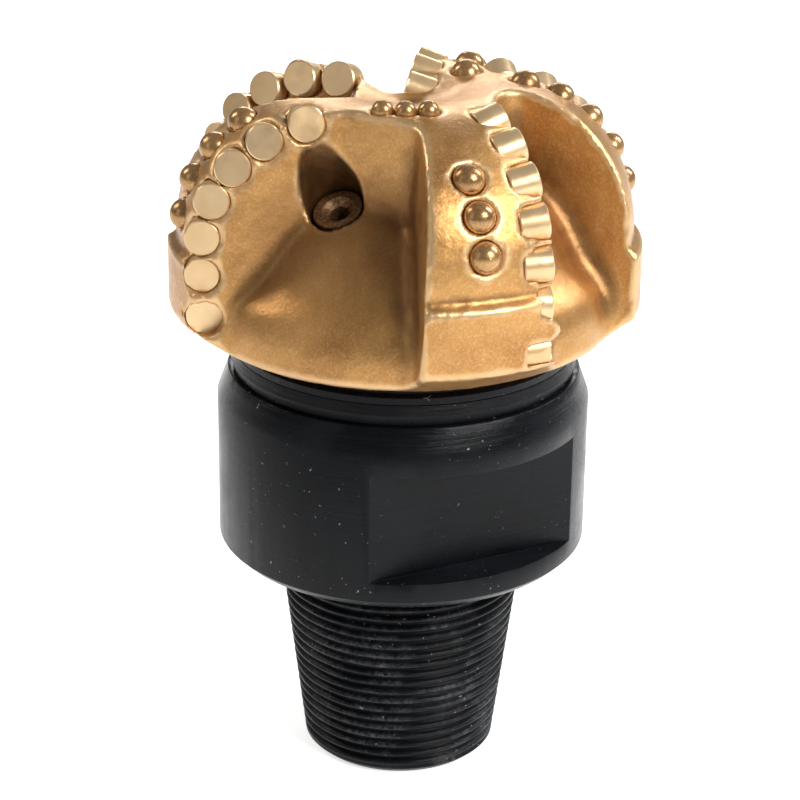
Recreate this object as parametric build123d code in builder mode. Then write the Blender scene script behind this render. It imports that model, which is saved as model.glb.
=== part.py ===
from build123d import *
from math import acos, asin, atan2, cos, degrees, hypot, pi, radians, sin, sqrt, tan
import os

os.makedirs("parts", exist_ok=True)

# Fixed-cutter drill bit, 8-1/2 inch, standing on the nose of its threaded pin.
# The axis is Z; z = 0 is the nose face of the pin and the crown is at the top.
# Seen from above the crown the bit turns anticlockwise, so each blade leads
# with the side of the larger azimuth.

# ---- main sizes, mm ----
GAUGE_D = 215.9
GAUGE_R = GAUGE_D / 2
PIN_LARGE_D = 117.48
PIN_SMALL_D = 90.48
PIN_LENGTH = 107.95
PIN_NOSE_CHAMFER = 3.0
PIN_RELIEF = 1.2
WATERWAY_D = 57.15
WATERWAY_R = WATERWAY_D / 2
COLLAR_D = 172.0
COLLAR_R = COLLAR_D / 2
SHOULDER_BEVEL = 4.0
COLLAR_TOP_Z = 180.5
CONE_TOP_Z = 199.0
CONE_TOP_R = 81.0
FLAT_OFFSET = 69.0
FLAT_LOW_Z = 121.0
FLAT_HIGH_Z = 172.5

# neck between the shank and the crown
NECK_R = 78.5
NECK_STEP_R = 76.0
NECK_STEP_Z = 207.0
CROWN_LOW_Z = 216.0
SPIGOT_R = 62.0
SPIGOT_TOP_Z = 238.0
WELD_DEPTH = 9.0
WELD_HALF_GAP = 5.0
BOND_GAP = 0.1

# crown profile: cutter tips touch this shape
SHOULDER_R = 66.0
GAUGE_TOP_Z = 264.0
CONE_ANGLE = 15.0
TIP_STANDOFF = 5.0
PAD_R = GAUGE_R - 0.6
PAD_TOP_Z = 256.0
PAD_LOW_Z = 227.0
SKIRT_R = 95.0
SHOULDER_CENTRE_R = GAUGE_R - SHOULDER_R

# junk slots
SLOT_TOP_Z = 335.0
SLOT_LOW_Z = 205.0
SLOT_DRAFT = 4.0
SLOT_OUTER_R = 135.0
HUB_TOP_Z = 289.0

# cutters and inserts
CUTTER_D = 16.0
CUTTER_R = CUTTER_D / 2
CUTTER_LENGTH = 13.0
CUTTER_CHAMFER = 0.6
CUTTER_GAP = 0.1
CUTTER_LOW_Z = 252.5
BACK_RAKE = 18.0
SIDE_TURN = 0.25
FACE_LEAD = 1.0
POCKET_REACH = 14.0
DOME_D = 14.0
DOME_R = DOME_D / 2
DOME_STANDOFF = 5.0
DOME_DEPTH = 6.0
DOME_PITCH = 16.4
NOSE_DOME_R = 4.75
NOSE_DOME_RING_R = 43.5
NOSE_DOME_AZIMUTHS = (229.0, 242.0, 255.0)
UPDRILL_Z = 233.0

# nozzles
PLENUM_R = 36.0
PLENUM_TOP_Z = 262.0
PORT_R = 12.5
PORT_TILT = 30.0
PORT_AXIS_R = 57.0
PORT_AXIS_Z = 288.0
THROAT_R = 9.0
NOZZLE_R = 11.0
NOZZLE_LENGTH = 18.0
NOZZLE_ORIFICE_R = 4.5
NOZZLE_SEAT = 26.0
NOZZLE_FLARE = 3.0
THROAT_REACH = 22.0
PORT_TURN = (-6.0, 0.0, 0.0, 0.0, 0.0)

# blades: azimuth of the leading and trailing walls at the gauge circle, and
# how far each wall is turned from the radial line (plus turns the inner end
# to the trailing side), smallest radius of the cutter row, setback of the
# dome row behind the leading wall
BLADES = [
    dict(lead=179.8, trail=157.3, lead_skew=-19.8, trail_skew=-14.0,
         pitch=16.9, inner_r=44.0, setback=22.5, domes=4, dome_low_z=272.0),
    dict(lead=277.8, trail=250.3, lead_skew=-8.6, trail_skew=3.0,
         pitch=17.9, inner_r=40.0, setback=29.0, domes=3, dome_low_z=277.0),
    dict(lead=354.8, trail=318.8, lead_skew=-17.2, trail_skew=-5.0,
         pitch=17.9, inner_r=46.0, setback=22.5, domes=5, dome_low_z=277.0),
    dict(lead=54.8, trail=29.8, lead_skew=0.0, trail_skew=-7.0,
         pitch=17.9, inner_r=8.0, setback=22.5, domes=6, dome_low_z=277.0),
    dict(lead=128.8, trail=103.8, lead_skew=6.0, trail_skew=8.0,
         pitch=17.9, inner_r=32.0, setback=22.5, domes=4, dome_low_z=277.0),
]

# inner ends of the junk slots: radius and azimuth of the two inner corners,
# first on the wall of the blade behind, then on the wall of the blade ahead
SLOT_INNER = [
    dict(r_a=48.4, az_a=213.0, r_b=58.3, az_b=248.7, corner=14.0, floor=9.0),
    dict(r_a=52.3, az_a=288.0, r_b=39.0, az_b=333.0, corner=12.5, floor=9.0),
    dict(r_a=65.5, az_a=7.2, r_b=66.6, az_b=30.1, corner=10.5, floor=7.0),
    dict(r_a=6.3, az_a=44.0, r_b=17.2, az_b=117.3, corner=10.0, floor=7.0),
    dict(r_a=30.0, az_a=105.0, r_b=34.0, az_b=197.8, corner=13.0, floor=9.0),
]


def profile_height(radius):
    """Height of the cutter tip profile above a radius inside the gauge."""
    knee = SHOULDER_CENTRE_R - SHOULDER_R * sin(radians(CONE_ANGLE))
    if radius >= knee:
        reach = radius - SHOULDER_CENTRE_R
        return GAUGE_TOP_Z + sqrt(max(SHOULDER_R**2 - reach**2, 0.0))
    knee_z = GAUGE_TOP_Z + SHOULDER_R * cos(radians(CONE_ANGLE))
    return knee_z - (knee - radius) * tan(radians(CONE_ANGLE))


def profile_point(distance):
    """Radius, height and tilt of the profile, at a distance run by the cutter centres."""
    straight = GAUGE_TOP_Z - CUTTER_LOW_Z
    centre_arc_r = SHOULDER_R - CUTTER_R
    if distance <= straight:
        return GAUGE_R, CUTTER_LOW_Z + distance, 0.0
    angle = degrees((distance - straight) / centre_arc_r)
    last = 90.0 + CONE_ANGLE
    if angle <= last:
        radius = SHOULDER_CENTRE_R + SHOULDER_R * cos(radians(angle))
        return radius, GAUGE_TOP_Z + SHOULDER_R * sin(radians(angle)), angle
    run = distance - straight - centre_arc_r * radians(last)
    knee = SHOULDER_CENTRE_R - SHOULDER_R * sin(radians(CONE_ANGLE))
    radius = knee - run * cos(radians(CONE_ANGLE))
    return radius, profile_height(radius), last


def wall_azimuth(gauge_azimuth, skew, radius):
    """Azimuth at which a straight blade wall crosses a radius."""
    offset = GAUGE_R * sin(radians(skew))
    inside = max(min(offset / radius, 1.0), -1.0)
    return gauge_azimuth + skew - degrees(asin(inside))


def polar(radius, azimuth, height=0.0):
    """Point from radius, azimuth and height."""
    return Vector(radius * cos(radians(azimuth)), radius * sin(radians(azimuth)), height)


def cutter_planes(blade):
    """Planes on the cutter faces of one blade, from the gauge to the centre."""
    planes = []
    step = 0
    while True:
        radius, height, tilt = profile_point(step * blade["pitch"])
        if radius < blade["inner_r"]:
            return planes
        azimuth = wall_azimuth(blade["lead"], blade["lead_skew"], radius)
        wall_normal = blade["lead"] + blade["lead_skew"] + 90.0
        tangent = azimuth + 90.0
        face_azimuth = wall_normal + SIDE_TURN * (tangent - wall_normal)
        travel = polar(1.0, face_azimuth)
        normal = polar(cos(radians(tilt)), azimuth, sin(radians(tilt)))
        axis = travel * cos(radians(BACK_RAKE)) + normal * sin(radians(BACK_RAKE))
        up = normal - axis * normal.dot(axis)
        up = up.normalized()
        tip = polar(radius, azimuth, height)
        centre = tip - up * CUTTER_R + polar(FACE_LEAD, wall_normal)
        planes.append(Plane(origin=centre, x_dir=up, z_dir=axis))
        step += 1


def dome_planes(blade):
    """Planes at the seats of the dome inserts of one blade, normal to its surface."""
    planes = []
    offset = GAUGE_R * sin(radians(blade["lead_skew"])) + blade["setback"]
    start = blade["dome_low_z"] - CUTTER_LOW_Z
    for number in range(blade["domes"]):
        radius, height, tilt = profile_point(start + number * DOME_PITCH)
        inside = max(min(offset / radius, 1.0), -1.0)
        azimuth = blade["lead"] + blade["lead_skew"] - degrees(asin(inside))
        normal = polar(cos(radians(tilt)), azimuth, sin(radians(tilt)))
        seat = polar(radius, azimuth, height) - normal * TIP_STANDOFF
        planes.append(Plane(origin=seat, z_dir=normal))
    return planes


def is_inner_corner(vertex):
    """True for the corners of a slot that lie inside the gauge circle."""
    return hypot(vertex.X, vertex.Y) < GAUGE_R


def is_floor_edge(edge):
    """True for the edges where the walls of a slot meet its floor."""
    for place in (0.0, 0.5, 1.0):
        point = edge @ place
        if hypot(point.X, point.Y) > SKIRT_R + 0.5:
            return False
        if hub.part.distance_to(Vertex(point)) > 0.02:
            return False
    return (edge @ 0.5).Z > SLOT_LOW_Z + 10.0 and edge.geom_type != GeomType.CIRCLE


def port_plane(azimuth):
    """Plane at the mouth of a nozzle port, normal along the port."""
    direction = polar(sin(radians(PORT_TILT)), azimuth, cos(radians(PORT_TILT)))
    return Plane(origin=polar(PORT_AXIS_R, azimuth, PORT_AXIS_Z), z_dir=direction)


# ---- shank: threaded pin, shoulder, collar with two breaker flats ----
with BuildPart() as shank:
    with BuildSketch(Plane.XZ) as shank_section:
        with BuildLine():
            Polyline(
                (WATERWAY_R, 0),
                (PIN_SMALL_D / 2 - PIN_NOSE_CHAMFER, 0),
                (PIN_SMALL_D / 2, PIN_NOSE_CHAMFER),
                (PIN_LARGE_D / 2 - PIN_RELIEF, PIN_LENGTH - PIN_RELIEF),
                (PIN_LARGE_D / 2 - PIN_RELIEF, PIN_LENGTH),
                (COLLAR_R - SHOULDER_BEVEL, PIN_LENGTH),
                (COLLAR_R, PIN_LENGTH + SHOULDER_BEVEL),
                (COLLAR_R, COLLAR_TOP_Z),
                (CONE_TOP_R, CONE_TOP_Z - WELD_HALF_GAP),
                (NECK_R, CONE_TOP_Z - WELD_HALF_GAP),
                (NECK_R - WELD_DEPTH, CONE_TOP_Z),
                (WATERWAY_R, CONE_TOP_Z),
                close=True,
            )
        make_face()
    revolve(axis=Axis.Z)
    flat_height = FLAT_HIGH_Z - FLAT_LOW_Z
    flat_mid_z = (FLAT_HIGH_Z + FLAT_LOW_Z) / 2
    with Locations((0, FLAT_OFFSET + COLLAR_R / 2, flat_mid_z),
                   (0, -FLAT_OFFSET - COLLAR_R / 2, flat_mid_z)):
        Box(2 * COLLAR_D, COLLAR_R, flat_height, mode=Mode.SUBTRACT)
shank.part.label = "shank"

# ---- steel blank: neck ring with a spigot that is cast into the crown ----
with BuildPart() as steel_blank:
    with BuildSketch(Plane.XZ):
        with BuildLine():
            Polyline(
                (WATERWAY_R, CONE_TOP_Z + BOND_GAP),
                (NECK_R - WELD_DEPTH, CONE_TOP_Z + BOND_GAP),
                (NECK_R, CONE_TOP_Z + WELD_HALF_GAP),
                (NECK_R, NECK_STEP_Z),
                (NECK_STEP_R, NECK_STEP_Z + 1.5),
                (NECK_STEP_R, CROWN_LOW_Z - BOND_GAP),
                (SPIGOT_R, CROWN_LOW_Z - BOND_GAP),
                (SPIGOT_R, SPIGOT_TOP_Z),
                (WATERWAY_R, SPIGOT_TOP_Z),
                close=True,
            )
        make_face()
    revolve(axis=Axis.Z)
steel_blank.part.label = "steel_blank"

# ---- weld bead: fills the groove between the shank and the blank ----
with BuildPart() as weld_bead:
    with BuildSketch(Plane.XZ):
        with BuildLine():
            Polyline(
                (NECK_R - WELD_DEPTH + 2 * BOND_GAP, CONE_TOP_Z + BOND_GAP / 2),
                (NECK_R + BOND_GAP, CONE_TOP_Z - WELD_HALF_GAP + 4 * BOND_GAP),
                (NECK_R + 1.2, CONE_TOP_Z),
                (NECK_R + BOND_GAP, CONE_TOP_Z + WELD_HALF_GAP - 4 * BOND_GAP),
                close=True,
            )
        make_face()
    revolve(axis=Axis.Z)
weld_bead.part.label = "weld_bead"

# ---- hub: the shape of the junk slot floors ----
with BuildPart() as hub:
    with BuildSketch(Plane.XZ):
        with BuildLine():
            floor_line = Spline(
                (0, HUB_TOP_Z),
                (40, HUB_TOP_Z - 2.0),
                (64, HUB_TOP_Z - 13.0),
                (82, HUB_TOP_Z - 39.0),
                (SKIRT_R, SLOT_LOW_Z + 13.0),
                tangents=((1, 0), (0, -1)),
            )
            Polyline(
                floor_line @ 1,
                (SKIRT_R, SLOT_LOW_Z - 10.0),
                (0, SLOT_LOW_Z - 10.0),
                (0, HUB_TOP_Z),
            )
        make_face()
    revolve(axis=Axis.Z)

# ---- junk slot shapes, each between two blades, with rounded floors ----
slot_shapes = []
for number, inner in enumerate(SLOT_INNER):
    behind = BLADES[number]
    ahead = BLADES[(number + 1) % len(BLADES)]
    wall_a = behind["lead"]
    wall_b = ahead["trail"]
    along_a = behind["lead"] + behind["lead_skew"]
    along_b = ahead["trail"] + ahead["trail_skew"]
    gauge_a = polar(GAUGE_R, wall_a)
    gauge_b = polar(GAUGE_R, wall_b)
    outer_a = gauge_a + polar(SLOT_OUTER_R - GAUGE_R, along_a)
    outer_b = gauge_b + polar(SLOT_OUTER_R - GAUGE_R, along_b)
    inner_a = polar(inner["r_a"], inner["az_a"])
    inner_b = polar(inner["r_b"], inner["az_b"])
    with BuildPart() as slot_shape:
        with BuildSketch(Plane.XY.offset(SLOT_TOP_Z)) as slot_plan:
            with BuildLine():
                Polyline(outer_a, inner_a, inner_b, outer_b, close=True)
            make_face()
            fillet(slot_plan.vertices().filter_by(is_inner_corner), inner["corner"])
        extrude(amount=SLOT_LOW_Z - SLOT_TOP_Z, taper=SLOT_DRAFT)
        add(hub.part, mode=Mode.SUBTRACT)
        fillet(slot_shape.edges().filter_by(is_floor_edge), inner["floor"])
    slot_shapes.append(slot_shape)

# ---- crown: the envelope of the blades, cut by the slots and the pockets ----
blade_shoulder_r = SHOULDER_R - TIP_STANDOFF
cone = radians(CONE_ANGLE)
knee_r = SHOULDER_CENTRE_R - blade_shoulder_r * sin(cone)
knee_z = GAUGE_TOP_Z + blade_shoulder_r * cos(cone)
centre_z = knee_z - knee_r * tan(cone)
arc_mid = radians(45.0)
cutter_seats = [cutter_planes(blade) for blade in BLADES]
dome_seats = [dome_planes(blade) for blade in BLADES]
slot_middles = []
for number, blade in enumerate(BLADES):
    nearest = BLADES[(number + 1) % len(BLADES)]["trail"]
    span = (nearest - blade["lead"]) % 360.0
    slot_middles.append(blade["lead"] + span / 2)
port_azimuths = [azimuth + turn for azimuth, turn in zip(slot_middles, PORT_TURN)]
nose_dome_seats = []
for azimuth in NOSE_DOME_AZIMUTHS:
    surface_z = profile_height(NOSE_DOME_RING_R) - TIP_STANDOFF
    nose_dome_seats.append(Plane(origin=polar(NOSE_DOME_RING_R, azimuth, surface_z)))
updrill_seats = []
for blade in BLADES:
    wall_normal = blade["lead"] + blade["lead_skew"] + 90.0
    wall_face = polar(GAUGE_R - CUTTER_R, wall_azimuth(
        blade["lead"], blade["lead_skew"], GAUGE_R - CUTTER_R), UPDRILL_Z)
    centre = wall_face + polar(FACE_LEAD, wall_normal)
    updrill_seats.append(Plane(origin=centre, x_dir=(0, 0, 1), z_dir=polar(1.0, wall_normal)))

with BuildPart() as crown_cut:
    with BuildSketch(Plane.XZ):
        with BuildLine():
            Polyline(
                (0, centre_z),
                (0, CROWN_LOW_Z),
                (SKIRT_R - 3.0, CROWN_LOW_Z),
                (SKIRT_R, CROWN_LOW_Z + 2.0),
                (PAD_R, PAD_LOW_Z),
                (PAD_R, PAD_TOP_Z),
                (GAUGE_R - TIP_STANDOFF, PAD_TOP_Z + 2.5),
                (GAUGE_R - TIP_STANDOFF, GAUGE_TOP_Z),
            )
            CenterArc((SHOULDER_CENTRE_R, GAUGE_TOP_Z), blade_shoulder_r, 0, 90 + CONE_ANGLE)
            Line((knee_r, knee_z), (0, centre_z))
        make_face()
    revolve(axis=Axis.Z)
    for slot_shape in slot_shapes:
        add(slot_shape.part, mode=Mode.SUBTRACT)
    with BuildSketch(Plane.XZ):
        with BuildLine():
            Polyline(
                (0, CROWN_LOW_Z - 1.0),
                (SPIGOT_R + BOND_GAP, CROWN_LOW_Z - 1.0),
                (SPIGOT_R + BOND_GAP, SPIGOT_TOP_Z + BOND_GAP),
                (PLENUM_R, SPIGOT_TOP_Z + BOND_GAP),
                (PLENUM_R, PLENUM_TOP_Z - 8.0),
                (PLENUM_R - 10.0, PLENUM_TOP_Z),
                (0, PLENUM_TOP_Z),
                close=True,
            )
        make_face()
    revolve(axis=Axis.Z, mode=Mode.SUBTRACT)
    for azimuth in port_azimuths:
        mouth = port_plane(azimuth)
        seat = mouth.offset(-NOZZLE_SEAT)
        with BuildSketch(seat):
            Circle(PORT_R)
        extrude(amount=NOZZLE_SEAT * 2, mode=Mode.SUBTRACT)
        with BuildSketch(seat.offset(-THROAT_REACH)):
            Circle(THROAT_R)
        extrude(amount=THROAT_REACH + 1.0, mode=Mode.SUBTRACT)
    for seats in cutter_seats:
        for seat in seats:
            with BuildSketch(seat.offset(-CUTTER_LENGTH - CUTTER_GAP)):
                Circle(CUTTER_R + CUTTER_GAP)
            extrude(amount=CUTTER_LENGTH + POCKET_REACH, mode=Mode.SUBTRACT)
    for seats in dome_seats:
        for seat in seats:
            with BuildSketch(seat.offset(-DOME_DEPTH - CUTTER_GAP)):
                Circle(DOME_R + CUTTER_GAP)
            extrude(amount=DOME_DEPTH * 2, mode=Mode.SUBTRACT)
    for seat in updrill_seats:
        with BuildSketch(seat.offset(-CUTTER_LENGTH - CUTTER_GAP)):
            Circle(CUTTER_R + CUTTER_GAP)
        extrude(amount=CUTTER_LENGTH + POCKET_REACH, mode=Mode.SUBTRACT)
    for seat in nose_dome_seats:
        with BuildSketch(seat.offset(-DOME_DEPTH - CUTTER_GAP)):
            Circle(NOSE_DOME_R + CUTTER_GAP)
        extrude(amount=DOME_DEPTH * 2, mode=Mode.SUBTRACT)

with BuildPart() as crown:
    add(crown_cut.solids().sort_by(SortBy.VOLUME)[-1])
crown.part.label = "crown"

# ---- cutters: one piece each, held in its pocket by braze ----
cutters = []
for blade_number, seats in enumerate(cutter_seats, start=1):
    for number, seat in enumerate(seats, start=1):
        with BuildPart() as cutter:
            with BuildSketch(seat.offset(-CUTTER_LENGTH)):
                Circle(CUTTER_R)
            extrude(amount=CUTTER_LENGTH)
            chamfer(cutter.edges(), CUTTER_CHAMFER)
            with BuildSketch(Plane.XY):
                Circle(SLOT_OUTER_R)
                Circle(GAUGE_R, mode=Mode.SUBTRACT)
            extrude(amount=SLOT_TOP_Z + CUTTER_D, mode=Mode.SUBTRACT)
        cutter.part.label = f"blade_{blade_number}_cutter_{number}"
        cutters.append(cutter)

with BuildPart() as updrill_cutters:
    for seat in updrill_seats:
        with BuildSketch(seat.offset(-CUTTER_LENGTH)):
            Circle(CUTTER_R)
        extrude(amount=CUTTER_LENGTH)
    with BuildSketch(Plane.XY):
        Circle(SLOT_OUTER_R)
        Circle(PAD_R, mode=Mode.SUBTRACT)
    extrude(amount=SLOT_TOP_Z, mode=Mode.SUBTRACT)
updrill_cutters.part.label = "updrill_cutters"

# ---- dome inserts behind the cutters, one group for each blade ----
dome_groups = []
for blade_number, seats in enumerate(dome_seats, start=1):
    with BuildPart() as domes:
        for seat in seats:
            round_z = DOME_STANDOFF - DOME_R
            with BuildSketch(Plane(seat.origin, x_dir=seat.x_dir, z_dir=-seat.y_dir)):
                with BuildLine():
                    Polyline((0, DOME_STANDOFF), (0, -DOME_DEPTH), (DOME_R, -DOME_DEPTH),
                             (DOME_R, round_z))
                    CenterArc((0, round_z), DOME_R, 0, 90)
                make_face()
            revolve(axis=Axis(seat.origin, seat.z_dir))
    domes.part.label = f"blade_{blade_number}_domes"
    dome_groups.append(domes)

with BuildPart() as nose_domes:
    for seat in nose_dome_seats:
        with BuildSketch(Plane(seat.origin, x_dir=seat.x_dir, z_dir=-seat.y_dir)):
            with BuildLine():
                Polyline((0, NOSE_DOME_R), (0, -DOME_DEPTH), (NOSE_DOME_R, -DOME_DEPTH),
                         (NOSE_DOME_R, 0))
                CenterArc((0, 0), NOSE_DOME_R, 0, 90)
            make_face()
        revolve(axis=Axis(seat.origin, seat.z_dir))
nose_domes.part.label = "nose_domes"

# ---- nozzles: one in each port ----
nozzles = []
for number, azimuth in enumerate(port_azimuths, start=1):
    seat = port_plane(azimuth).offset(-NOZZLE_SEAT + CUTTER_GAP)
    with BuildPart() as nozzle:
        with BuildSketch(seat):
            Circle(NOZZLE_R)
            Circle(NOZZLE_ORIFICE_R, mode=Mode.SUBTRACT)
        extrude(amount=NOZZLE_LENGTH)
        mouth_edges = [edge for edge in nozzle.edges().filter_by(GeomType.CIRCLE)
                       if abs(edge.radius - NOZZLE_ORIFICE_R) < 0.01]
        chamfer(mouth_edges, NOZZLE_FLARE)
    nozzle.part.label = f"nozzle_{number}"
    nozzles.append(nozzle)

# ---- files, one for each node ----
pieces = [shank, steel_blank, weld_bead, crown, updrill_cutters, nose_domes]
pieces += cutters + dome_groups + nozzles
for piece in pieces:
    export_step(piece.part, f"parts/{piece.part.label}.step")
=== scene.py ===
import math

import bmesh
import bpy
import numpy as np
from mathutils import Matrix, Vector, noise


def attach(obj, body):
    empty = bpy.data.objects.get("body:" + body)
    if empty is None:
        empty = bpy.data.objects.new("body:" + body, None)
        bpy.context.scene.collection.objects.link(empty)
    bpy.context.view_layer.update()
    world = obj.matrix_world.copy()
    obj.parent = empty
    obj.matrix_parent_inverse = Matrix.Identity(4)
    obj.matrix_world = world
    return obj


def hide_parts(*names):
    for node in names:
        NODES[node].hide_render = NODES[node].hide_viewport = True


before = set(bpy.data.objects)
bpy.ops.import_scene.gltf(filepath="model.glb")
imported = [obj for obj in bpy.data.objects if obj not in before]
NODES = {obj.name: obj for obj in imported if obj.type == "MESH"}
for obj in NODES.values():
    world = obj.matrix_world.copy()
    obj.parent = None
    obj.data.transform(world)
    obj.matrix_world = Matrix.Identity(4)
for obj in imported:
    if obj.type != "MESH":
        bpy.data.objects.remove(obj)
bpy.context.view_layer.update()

MM = 0.001


# ---------------------------------------------------------------- materials
class Graph:
    """Short helpers for building one material's node graph."""

    def __init__(self, name):
        self.mat = bpy.data.materials.new(name)
        self.mat.use_nodes = True
        self.tree = self.mat.node_tree
        self.shader = self.tree.nodes["Principled BSDF"]
        self.coords = self.tree.nodes.new("ShaderNodeTexCoord").outputs["Object"]

    def node(self, kind, inputs=None, **props):
        made = self.tree.nodes.new(kind)
        for key, value in props.items():
            setattr(made, key, value)
        for key, value in (inputs or {}).items():
            if isinstance(value, bpy.types.NodeSocket):
                self.tree.links.new(value, made.inputs[key])
            else:
                made.inputs[key].default_value = value
        return made

    def noise(self, scale, detail=4.0, rough=0.55, vector=None):
        made = self.node("ShaderNodeTexNoise", {
            "Vector": vector or self.coords, "Scale": scale, "Detail": detail,
            "Roughness": rough})
        return made.outputs["Fac"]

    def attribute(self, name):
        """A value stored on the mesh by build_crown or build_pin."""
        return self.node("ShaderNodeAttribute", attribute_name=name).outputs["Fac"]

    def ramp(self, value, stops):
        made = self.node("ShaderNodeValToRGB", {"Fac": value})
        ramp = made.color_ramp
        while len(ramp.elements) < len(stops):
            ramp.elements.new(0.5)
        for element, (place, colour) in zip(ramp.elements, stops):
            element.position = place
            element.color = (*colour, 1.0)
        return made.outputs["Color"]

    def grey(self, value, low, high, to_low=0.0, to_high=1.0):
        made = self.node("ShaderNodeMapRange", {
            "Value": value, "From Min": low, "From Max": high,
            "To Min": to_low, "To Max": to_high})
        return made.outputs["Result"]

    def math(self, operation, first, second=0.0):
        made = self.node("ShaderNodeMath", {0: first, 1: second}, operation=operation)
        return made.outputs[0]

    def mix(self, amount, first, second):
        made = self.node("ShaderNodeMix", data_type="RGBA")
        for key, value in ((0, amount), (6, first), (7, second)):
            if isinstance(value, bpy.types.NodeSocket):
                self.tree.links.new(value, made.inputs[key])
            elif key == 0:
                made.inputs[key].default_value = value
            else:
                made.inputs[key].default_value = (*value, 1.0)
        return made.outputs[2]

    def bump(self, height, strength, distance, normal=None):
        inputs = {"Height": height, "Strength": strength, "Distance": distance}
        if normal:
            inputs["Normal"] = normal
        return self.node("ShaderNodeBump", inputs).outputs["Normal"]

    def set(self, **values):
        for key, value in values.items():
            socket = self.shader.inputs[key.replace("_", " ")]
            if isinstance(value, bpy.types.NodeSocket):
                self.tree.links.new(value, socket)
            elif isinstance(value, tuple) and len(value) == 3:
                socket.default_value = (*value, 1.0)
            else:
                socket.default_value = value
        return self.mat


# linear colours of the gold paint, from painted shade in the cavities, slots and ports to
# bare edges
GOLD_CAVITY_SHADE = (0.085, 0.036, 0.012)
GOLD_SLOT_SHADE = (0.20, 0.082, 0.022)
GOLD_MID = (0.37, 0.165, 0.043)
GOLD_LIGHT = (0.55, 0.285, 0.088)
GOLD_PALE = (0.80, 0.56, 0.30)
DISC_DEEP = (0.64, 0.42, 0.205)
DISC_LIGHT = (0.80, 0.575, 0.325)
DOME_DEEP = (0.30, 0.15, 0.055)
DOME_LIGHT = (0.46, 0.26, 0.105)
# painted shade: near-black brown of the port walls and of the nozzles sitting in them
PORT_SHADE_BROWN = (0.045, 0.018, 0.007)
# painted shade: the lighter tone of the nozzles' darkened gold
NOZZLE_SHADE_LIGHT = (0.15, 0.07, 0.027)
# linear colours of the black paint and of what lies on it
BLACK_LOW = (0.0022, 0.0028, 0.0038)
BLACK_HIGH = (0.0048, 0.0060, 0.0082)
DUST_GREY = (0.42, 0.43, 0.45)
POWDER_GREY = (0.16, 0.165, 0.175)

GOLD_METALLIC = 0.72
GOLD_BUMP = 0.55
GOLD_BUMP_HEIGHT = 0.0010
BLACK_BUMP_HEIGHT = 0.0006
BLACK_PEEL = 0.12
BLACK_SPECULAR = 0.15


def gold_paint(name, rough, cast, cavities, deep=GOLD_MID, light=GOLD_LIGHT):
    """Metallic gold-bronze paint: cloudy colour from deep to light.

    With cavities, painted shade darkens the hollows, slots and ports, and the edges are
    paler.
    """
    g = Graph(name)
    cloud = g.noise(22.0, 5.0)
    colour = g.ramp(cloud, [(0.30, deep), (0.52, light), (0.75, light)])
    fleck = g.noise(900.0, 2.0)
    colour = g.mix(g.grey(fleck, 0.45, 0.75, 0.0, 0.35), colour, GOLD_PALE)
    if cavities:
        # painted shade: hollows and creases darkened towards near-black brown, in noisy
        # patches
        cavity = g.attribute("cavity")
        patchy = g.grey(g.noise(60.0), 0.2, 0.6, 0.7, 1.0)
        cavity_shade_mix = g.math("MULTIPLY", g.grey(cavity, 0.15, 0.95), patchy)
        colour = g.mix(cavity_shade_mix, colour, GOLD_CAVITY_SHADE)
        edge = g.attribute("edge")
        colour = g.mix(g.grey(edge, 0.35, 0.9, 0.0, 0.6), colour, GOLD_PALE)
        # painted shade: the paint colour darkens with depth in the junk slots
        hollow = g.attribute("hollow")
        shade = g.math("MULTIPLY", hollow, g.grey(g.noise(14.0, 3.0), 0.3, 0.65, 0.35, 0.85))
        colour = g.mix(shade, colour, GOLD_SLOT_SHADE)
        # painted shade: the nozzle port walls darkened to near-black brown
        port = g.attribute("port")
        colour = g.mix(g.math("MULTIPLY", port, 0.9), colour, PORT_SHADE_BROWN)
    grain = g.noise(420.0, 6.0, 0.65)
    lumps = g.noise(95.0, 3.0)
    height = g.math("ADD", g.math("MULTIPLY", grain, 0.35), g.math("MULTIPLY", lumps, 0.65))
    normal = g.bump(height, GOLD_BUMP * cast, GOLD_BUMP_HEIGHT)
    roughness = g.grey(g.noise(130.0, 4.0), 0.25, 0.75, rough - 0.07, rough + 0.09)
    return g.set(Base_Color=colour, Metallic=GOLD_METALLIC, Roughness=roughness,
                 Normal=normal, Coat_Weight=0.05, Coat_Roughness=0.2)


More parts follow.
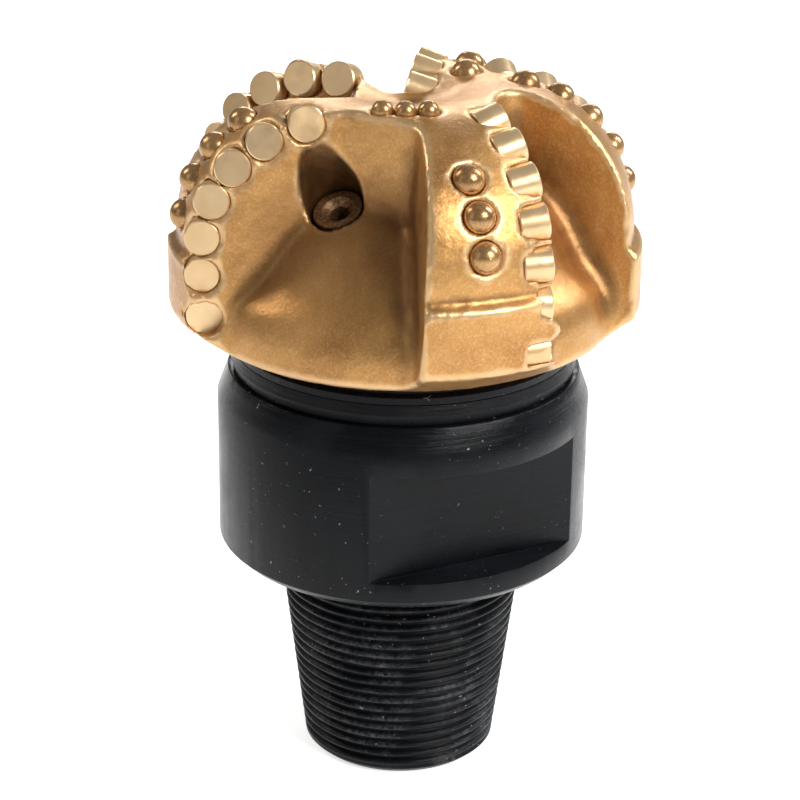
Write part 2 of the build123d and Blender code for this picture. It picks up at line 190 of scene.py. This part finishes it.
def black_paint(name, rough, ring_scale, ring_depth, wear):
    """Satin blue-black paint over a turned surface, with faint ring marks and dust."""
    g = Graph(name)
    split = g.node("ShaderNodeSeparateXYZ", {"Vector": g.coords})
    rings_at = g.node("ShaderNodeCombineXYZ", {
        "Z": g.math("MULTIPLY", split.outputs["Z"], ring_scale)}).outputs[0]
    stretched = g.node("ShaderNodeMapping", {
        "Vector": g.coords, "Scale": (6.0, 6.0, ring_scale)}).outputs[0]
    rings = g.noise(1.0, 5.0, 0.7, vector=stretched)
    fine = g.noise(2.6, 4.0, 0.75, vector=rings_at)
    height = g.math("ADD", g.math("MULTIPLY", rings, 0.5), g.math("MULTIPLY", fine, 0.5))
    peel = g.noise(260.0, 3.0)
    normal = g.bump(height, ring_depth, BLACK_BUMP_HEIGHT)
    normal = g.bump(peel, BLACK_PEEL, BLACK_BUMP_HEIGHT, normal)
    base = g.ramp(g.noise(35.0, 4.0), [(0.3, BLACK_LOW), (0.7, BLACK_HIGH)])
    speck = g.noise(480.0, 2.0)
    specks = g.math("MULTIPLY", g.grey(speck, 0.70, 0.72), g.grey(g.noise(24.0), 0.45, 0.65))
    colour = g.mix(specks, base, DUST_GREY)
    if wear:
        powder = g.math("MULTIPLY", g.grey(g.noise(38.0, 6.0, 0.7), 0.47, 0.72),
                        g.grey(g.noise(520.0, 3.0), 0.35, 0.7))
        edge = g.attribute("edge")
        powder = g.math("MULTIPLY", powder, g.grey(edge, 0.3, 0.9, 0.25, 1.0))
        colour = g.mix(g.math("MULTIPLY", powder, wear), colour, POWDER_GREY)
    roughness = g.grey(g.noise(48.0, 5.0), 0.3, 0.75, rough - 0.06, rough + 0.12)
    return g.set(Base_Color=colour, Metallic=0.0, Roughness=roughness, Normal=normal,
                 Specular_IOR_Level=BLACK_SPECULAR)


MAT_CROWN = gold_paint("crown_gold", 0.37, 1.0, True)
MAT_CUTTER = gold_paint("cutter_gold", 0.33, 0.30, False, DISC_DEEP, DISC_LIGHT)
MAT_DOME = gold_paint("dome_gold", 0.27, 0.35, False, DOME_DEEP, DOME_LIGHT)
# painted shade: the nozzles get the gold paint darkened to brown, as they sit deep in the
# ports
MAT_NOZZLE = gold_paint("nozzle_gold_shaded", 0.5, 0.9, False, PORT_SHADE_BROWN, NOZZLE_SHADE_LIGHT)
MAT_COLLAR = black_paint("collar_black", 0.23, 900.0, 0.42, 0.0)
MAT_NECK = black_paint("neck_black", 0.26, 1300.0, 0.65, 0.0)
MAT_PIN = black_paint("pin_black", 0.36, 1800.0, 0.3, 0.9)


# ---------------------------------------------------------------- mesh helpers
def copy_mesh(node, name):
    """A new object with a copy of a CAD node's mesh."""
    source = NODES[node]
    made = bpy.data.objects.new(name, source.data.copy())
    bpy.context.scene.collection.objects.link(made)
    made.matrix_world = source.matrix_world.copy()
    return made


def apply_modifiers(piece):
    """Turns the modifiers of a piece into its mesh."""
    graph = bpy.context.evaluated_depsgraph_get()
    mesh = bpy.data.meshes.new_from_object(piece.evaluated_get(graph))
    old = piece.data
    piece.modifiers.clear()
    piece.data = mesh
    bpy.data.meshes.remove(old)


def get_points(mesh):
    points = np.empty(len(mesh.vertices) * 3)
    mesh.vertices.foreach_get("co", points)
    return points.reshape(-1, 3)


def get_normals(mesh):
    normals = np.empty(len(mesh.vertices) * 3)
    mesh.vertices.foreach_get("normal", normals)
    return normals.reshape(-1, 3)


def edge_array(mesh):
    edges = np.empty(len(mesh.edges) * 2, dtype=np.int64)
    mesh.edges.foreach_get("vertices", edges)
    return edges.reshape(-1, 2)


def neighbour_mean(values, edges, count):
    total = np.zeros_like(values)
    np.add.at(total, edges[:, 0], values[edges[:, 1]])
    np.add.at(total, edges[:, 1], values[edges[:, 0]])
    degree = np.bincount(edges.ravel(), minlength=count).astype(float)
    degree[degree == 0] = 1.0
    return total / (degree[:, None] if values.ndim > 1 else degree)


def smooth_points(points, edges, rounds, factor=0.5, shrink=-0.52):
    """Taubin smoothing, which keeps the volume."""
    count = len(points)
    for _ in range(rounds):
        points = points + factor * (neighbour_mean(points, edges, count) - points)
        points = points + shrink * (neighbour_mean(points, edges, count) - points)
    return points


def store(mesh, name, values):
    layer = mesh.attributes.new(name, "FLOAT", "POINT")
    layer.data.foreach_set("value", np.asarray(values, dtype=np.float32))


def curvature(points, normals, edges, rounds):
    """Signed bend of the surface: plus in hollows, minus on edges."""
    bend = ((neighbour_mean(points, edges, len(points)) - points) * normals).sum(1)
    for _ in range(rounds):
        bend = 0.5 * bend + 0.5 * neighbour_mean(bend, edges, len(points))
    return bend


def shade_smooth(mesh):
    mesh.polygons.foreach_set("use_smooth", [True] * len(mesh.polygons))
    mesh.update()


def paint(piece, material):
    piece.data.materials.clear()
    piece.data.materials.append(material)


# ---------------------------------------------------------------- crown
CROWN_VOXEL = 1.65 * MM
SMOOTH_ROUNDS = 9
# uneven cast surface: height and scale of the slow and the fine waves
SLOW_LIFT = 0.32
SLOW_SCALE = 34.0
FINE_LIFT = 0.22
FINE_SCALE = 150.0
FINE_SHARE_LOW = 0.45
ROUGH_ABOVE_Z = 257.5 * MM
GAUGE_BAND_R = 105.5 * MM
EDGE_BEND = 0.10 * MM
HOLLOW_BEND = 0.16 * MM
HOLLOW_BEND_WIDE = 0.035 * MM
# nozzle ports
PORT_TILT = math.radians(30.0)
PORT_WALL_R = 12.5 * MM
PORT_MARGIN = 0.9 * MM
PORT_BLEND = 1.2 * MM
PORT_REACH = 45.0 * MM
# outer surface of the blades, as a tall half ellipse on the gauge, and the slots in it
ENVELOPE_R = 107.95 * MM
ENVELOPE_BASE_Z = 264.0 * MM
ENVELOPE_RISE = 58.0 * MM
SLOT_STARTS = 0.90
SLOT_BLEND = 0.25
SLOT_END_Z = 308.0 * MM
SLOT_FADE = 14.0 * MM


def slot_depth(points):
    """Rises from zero at the blades' outer surface to one deep in the junk slots."""
    radius = np.hypot(points[:, 0], points[:, 1]) / ENVELOPE_R
    height = np.maximum(points[:, 2] - ENVELOPE_BASE_Z, 0.0) / ENVELOPE_RISE
    depth = np.clip((SLOT_STARTS - np.hypot(radius, height)) / SLOT_BLEND, 0, 1)
    return depth * np.clip((SLOT_END_Z - points[:, 2]) / SLOT_FADE, 0, 1)


def port_depth(points):
    """One on the walls of the five nozzle ports, zero elsewhere."""
    found = np.zeros(len(points))
    for name, node in NODES.items():
        if not name.startswith("nozzle"):
            continue
        corners = [Vector(corner) for corner in node.bound_box]
        centre = node.matrix_world @ (sum(corners, Vector()) / len(corners))
        outward = Vector((centre.x, centre.y, 0.0)).normalized()
        upward = Vector((0, 0, math.cos(PORT_TILT)))
        axis = np.array(outward * math.sin(PORT_TILT) + upward)
        offset = points - np.array(centre)
        along = offset @ axis
        away = np.linalg.norm(offset - along[:, None] * axis, axis=1)
        inside = np.clip((PORT_WALL_R + PORT_MARGIN - away) / PORT_BLEND, 0, 1)
        found = np.maximum(found, inside * (np.abs(along) < PORT_REACH))
    return found


def build_crown():
    """The cast crown: the CAD solid with soft, slightly uneven foundry surfaces."""
    crown = copy_mesh("crown", "crown_casting")
    remesh = crown.modifiers.new("remesh", "REMESH")
    remesh.mode = "VOXEL"
    remesh.voxel_size = CROWN_VOXEL
    apply_modifiers(crown)
    mesh = crown.data
    edges = edge_array(mesh)
    points = smooth_points(get_points(mesh), edges, SMOOTH_ROUNDS)
    mesh.vertices.foreach_set("co", points.ravel())
    mesh.update()
    normals = get_normals(mesh)
    radius = np.hypot(points[:, 0], points[:, 1])
    above_ledge = points[:, 2] > ROUGH_ABOVE_Z
    lift = np.empty(len(points))
    for index, point in enumerate(points):
        place = Vector(point)
        slow = noise.noise(place * SLOW_SCALE)
        fine = noise.noise(place * FINE_SCALE)
        share = 1.0 if above_ledge[index] else FINE_SHARE_LOW
        lift[index] = SLOW_LIFT * slow + FINE_LIFT * fine * share
    outside = radius > GAUGE_BAND_R
    lift = np.where(outside, np.minimum(lift, 0.0), lift)
    points = points + normals * (lift * MM)[:, None]
    mesh.vertices.foreach_set("co", points.ravel())
    mesh.update()
    normals = get_normals(mesh)
    bend = curvature(points, normals, edges, 3)
    wide = curvature(points, normals, edges, 40)
    # painted shade: the port walls, which get a near-black paint colour
    store(mesh, "port", port_depth(points))
    # painted shade: depth in the junk slots, which darkens the paint colour there
    store(mesh, "hollow", slot_depth(points))
    store(mesh, "edge", np.clip(-bend / EDGE_BEND, 0, 1))
    # painted shade: the sharp and the wide bend into hollows set how dark the paint colour
    # gets there
    sharp_hollow = np.clip(bend / HOLLOW_BEND, 0, 1)
    wide_hollow = np.clip(wide / HOLLOW_BEND_WIDE, 0, 1)
    store(mesh, "cavity", sharp_hollow * 0.5 + wide_hollow * 0.5)
    shade_smooth(mesh)
    paint(crown, MAT_CROWN)
    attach(crown, "root")
    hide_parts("crown")


# ---------------------------------------------------------------- shank
PIN_SMALL_R = 45.24 * MM
PIN_LARGE_R = 58.74 * MM
PIN_LENGTH = 107.95 * MM
BORE_R = 28.575 * MM
THREAD_PITCH = 5.08 * MM
THREAD_DEPTH = 2.7 * MM
THREAD_START_Z = 5.0 * MM
THREAD_END_Z = 100.0 * MM
PIN_CUT_Z = 104.5 * MM
PIN_CREST_GAP = 1.2 * MM
NOSE_CHAMFER = 3.0 * MM
BORE_CHAMFER = 1.2 * MM
THREAD_CREST_SHARE = 0.22
THREAD_FLANK_SHARE = 0.62
THREAD_FADE_IN = 3.0 * MM
THREAD_FADE_OUT = 6.0 * MM
PIN_STEPS_AROUND = 128
PIN_ROWS_A_TURN = 10
COLLAR_BEVEL = 0.7 * MM
COLLAR_BEVEL_ANGLE = math.radians(28)


def taper_radius(height):
    return PIN_SMALL_R + (PIN_LARGE_R - PIN_SMALL_R) * height / PIN_LENGTH


def thread_radius(height, angle):
    """Radius of the threaded pin: a V thread with flat crests and flat roots."""
    base = min(taper_radius(height), PIN_LARGE_R - PIN_CREST_GAP)
    if height < NOSE_CHAMFER:
        return base - (NOSE_CHAMFER - height)
    phase = (height / THREAD_PITCH - angle / (2 * math.pi)) % 1.0
    ridge = abs(phase - 0.5) * 2.0
    cut = min(max((ridge - THREAD_CREST_SHARE) / THREAD_FLANK_SHARE, 0.0), 1.0)
    started = height - THREAD_START_Z + THREAD_FADE_IN / 2
    fade = min(max(started / THREAD_FADE_IN, 0.0), 1.0)
    fade *= min(max((THREAD_END_Z - height) / THREAD_FADE_OUT, 0.0), 1.0)
    return base - THREAD_DEPTH * cut * fade


def build_pin():
    """The tapered pin with its helical thread, nose face and bore mouth."""
    around = PIN_STEPS_AROUND
    rows = PIN_ROWS_A_TURN * int(PIN_CUT_Z / THREAD_PITCH)
    heights = [PIN_CUT_Z * i / rows for i in range(rows + 1)]
    verts = []
    faces = []
    for height in heights:
        for step in range(around):
            angle = 2 * math.pi * step / around
            radius = thread_radius(height, angle)
            verts.append((radius * math.cos(angle), radius * math.sin(angle), height))
    inner = len(verts)
    bore_rings = (
        (BORE_R, PIN_CUT_Z), (BORE_R, BORE_CHAMFER), (BORE_R + BORE_CHAMFER, 0.0))
    for radius, height in bore_rings:
        for step in range(around):
            angle = 2 * math.pi * step / around
            verts.append((radius * math.cos(angle), radius * math.sin(angle), height))

    def band(first, second):
        for step in range(around):
            after = (step + 1) % around
            faces.append((first + step, first + after, second + after, second + step))

    for row in range(rows):
        band(row * around, (row + 1) * around)
    band(rows * around, inner)
    band(inner, inner + around)
    band(inner + around, inner + 2 * around)
    band(inner + 2 * around, 0)
    mesh = bpy.data.meshes.new("pin_thread")
    mesh.from_pydata(verts, [], faces)
    mesh.update()
    bm = bmesh.new()
    bm.from_mesh(mesh)
    bmesh.ops.recalc_face_normals(bm, faces=bm.faces)
    bm.to_mesh(mesh)
    bm.free()
    edge = np.zeros(len(verts))
    for index, (x, y, z) in enumerate(verts[:inner]):
        crest = min(taper_radius(z), PIN_LARGE_R - PIN_CREST_GAP)
        shortfall = crest - math.hypot(x, y)
        edge[index] = 1.0 - min(max(shortfall / THREAD_DEPTH, 0.0), 1.0)
    store(mesh, "edge", edge)
    pin = bpy.data.objects.new("pin_thread", mesh)
    bpy.context.scene.collection.objects.link(pin)
    shade_smooth(mesh)
    paint(pin, MAT_PIN)
    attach(pin, "root")
    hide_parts("shank")


def build_collar():
    """The collar with its shoulder and breaker flats, above the threaded pin."""
    collar = copy_mesh("shank", "shank_collar")
    bm = bmesh.new()
    bm.from_mesh(collar.data)
    bmesh.ops.remove_doubles(bm, verts=bm.verts, dist=1e-6)
    cut = bmesh.ops.bisect_plane(
        bm, geom=bm.verts[:] + bm.edges[:] + bm.faces[:], dist=1e-7,
        plane_co=(0, 0, PIN_CUT_Z), plane_no=(0, 0, 1), clear_inner=True)
    rim = [item for item in cut["geom_cut"] if isinstance(item, bmesh.types.BMEdge)]
    bmesh.ops.bridge_loops(bm, edges=rim)
    bmesh.ops.recalc_face_normals(bm, faces=bm.faces)
    bm.to_mesh(collar.data)
    bm.free()
    bevel = collar.modifiers.new("worn edges", "BEVEL")
    bevel.width = COLLAR_BEVEL
    bevel.segments = 2
    bevel.limit_method = "ANGLE"
    bevel.angle_limit = COLLAR_BEVEL_ANGLE
    bevel.harden_normals = True
    shade_smooth(collar.data)
    paint(collar, MAT_COLLAR)
    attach(collar, "root")
    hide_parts("shank")


# ---------------------------------------------------------------- build
build_crown()
build_pin()
build_collar()
for node_name, node in NODES.items():
    if node_name in ("crown", "shank"):
        continue
    if "dome" in node_name:
        paint(node, MAT_DOME)
    elif node_name.startswith("nozzle"):
        paint(node, MAT_NOZZLE)
    elif node_name in ("steel_blank", "weld_bead"):
        paint(node, MAT_NECK)
    else:
        paint(node, MAT_CUTTER)


# ---------------------------------------------------------------- camera
FOCAL_PX = 2459.5
FRAME_PX = 800.0
SENSOR_MM = 36.0
CAMERA_DISTANCE = 1.1458
CAMERA_ELEVATION = math.radians(22.508)
CAMERA_ROLL = math.radians(-0.744)
CAMERA_TURN = math.radians(-27.2)
AIM = Vector((-1.338 * MM, 0.0, 173.94 * MM))


def build_camera():
    turn = Matrix.Rotation(CAMERA_TURN, 4, "Z")
    back = Vector((0.0, -math.cos(CAMERA_ELEVATION), math.sin(CAMERA_ELEVATION)))
    right = Vector((1.0, 0.0, 0.0))
    up = back.cross(right)
    cos_r = math.cos(CAMERA_ROLL)
    sin_r = math.sin(CAMERA_ROLL)
    right_r = right * cos_r - up * sin_r
    up_r = right * sin_r + up * cos_r
    place = AIM + back * CAMERA_DISTANCE
    basis = Matrix((right_r, up_r, back)).transposed().to_4x4()
    basis.translation = place
    data = bpy.data.cameras.new("camera")
    data.sensor_width = SENSOR_MM
    data.lens = FOCAL_PX / FRAME_PX * SENSOR_MM
    data.clip_end = 50.0
    camera = bpy.data.objects.new("camera", data)
    camera.matrix_world = turn @ basis
    bpy.context.scene.collection.objects.link(camera)
    bpy.context.scene.camera = camera


# ---------------------------------------------------------------- stage
FLOOR_RADIUS = 6.0
FLOOR_STEPS = 96
FLOOR_WHITE = (0.86, 0.86, 0.86, 1)
FLOOR_LIFT = 0.68
ROOM_LIGHT = 0.20
LAMP_TARGET = Vector((0, 0, 0.24))


def background_rays(tree):
    """One for rays that show the background directly, in a reflection or through glass."""
    light_path = tree.nodes.new("ShaderNodeLightPath")
    total = None
    for output in ("Is Camera Ray", "Is Glossy Ray", "Is Transmission Ray"):
        if total is None:
            total = light_path.outputs[output]
            continue
        larger = tree.nodes.new("ShaderNodeMath")
        larger.operation = "MAXIMUM"
        tree.links.new(total, larger.inputs[0])
        tree.links.new(light_path.outputs[output], larger.inputs[1])
        total = larger.outputs[0]
    return total


def build_stage():
    bm = bmesh.new()
    bmesh.ops.create_circle(bm, cap_ends=True, radius=FLOOR_RADIUS, segments=FLOOR_STEPS)
    mesh = bpy.data.meshes.new("floor")
    bm.to_mesh(mesh)
    bm.free()
    floor = bpy.data.objects.new("floor", mesh)
    bpy.context.scene.collection.objects.link(floor)
    mat = bpy.data.materials.new("floor_white")
    mat.use_nodes = True
    tree = mat.node_tree
    shader = tree.nodes["Principled BSDF"]
    shader.inputs["Base Color"].default_value = FLOOR_WHITE
    shader.inputs["Roughness"].default_value = 0.9
    shader.inputs["Specular IOR Level"].default_value = 0.1
    shader.inputs["Emission Color"].default_value = (1, 1, 1, 1)
    seen = background_rays(tree)
    lift = tree.nodes.new("ShaderNodeMath")
    lift.operation = "MULTIPLY"
    lift.inputs[1].default_value = FLOOR_LIFT
    tree.links.new(seen, lift.inputs[0])
    tree.links.new(lift.outputs[0], shader.inputs["Emission Strength"])
    floor.data.materials.append(mat)

    world = bpy.data.worlds.new("studio")
    bpy.context.scene.world = world
    world.use_nodes = True
    tree = world.node_tree
    background = tree.nodes["Background"]
    background.inputs["Color"].default_value = (1, 1, 1, 1)
    background.inputs["Strength"].default_value = ROOM_LIGHT


def lamp(name, azimuth, elevation, distance, size, power, colour=(1, 1, 1)):
    """A soft area lamp placed by its direction as the camera sees it."""
    data = bpy.data.lights.new(name, "AREA")
    data.shape = "RECTANGLE"
    data.size, data.size_y = size
    data.energy = power
    data.color = colour
    made = bpy.data.objects.new(name, data)
    turn = math.radians(azimuth) + CAMERA_TURN - math.pi / 2
    rise = math.radians(elevation)
    level = math.cos(rise)
    direction = Vector((math.cos(turn) * level, math.sin(turn) * level, math.sin(rise)))
    made.location = LAMP_TARGET + direction * distance
    made.rotation_euler = direction.to_track_quat("Z", "Y").to_euler()
    bpy.context.scene.collection.objects.link(made)


build_camera()
build_stage()
lamp("key", 46.0, 34.0, 1.5, (0.6, 0.6), 20.0, (1.0, 0.985, 0.96))
lamp("fill", -55.0, 24.0, 1.7, (0.5, 1.1), 1.5, (0.96, 0.98, 1.0))
lamp("rim", 112.0, 37.0, 1.6, (0.26, 0.7), 13.0, (0.95, 0.98, 1.0))
lamp("left rim", -106.0, 37.0, 1.6, (0.2, 0.6), 6.0, (1.0, 0.93, 0.84))
lamp("back", 176.0, 24.0, 1.6, (1.0, 0.25), 6.0)

scene = bpy.context.scene
scene.view_settings.view_transform = "Standard"
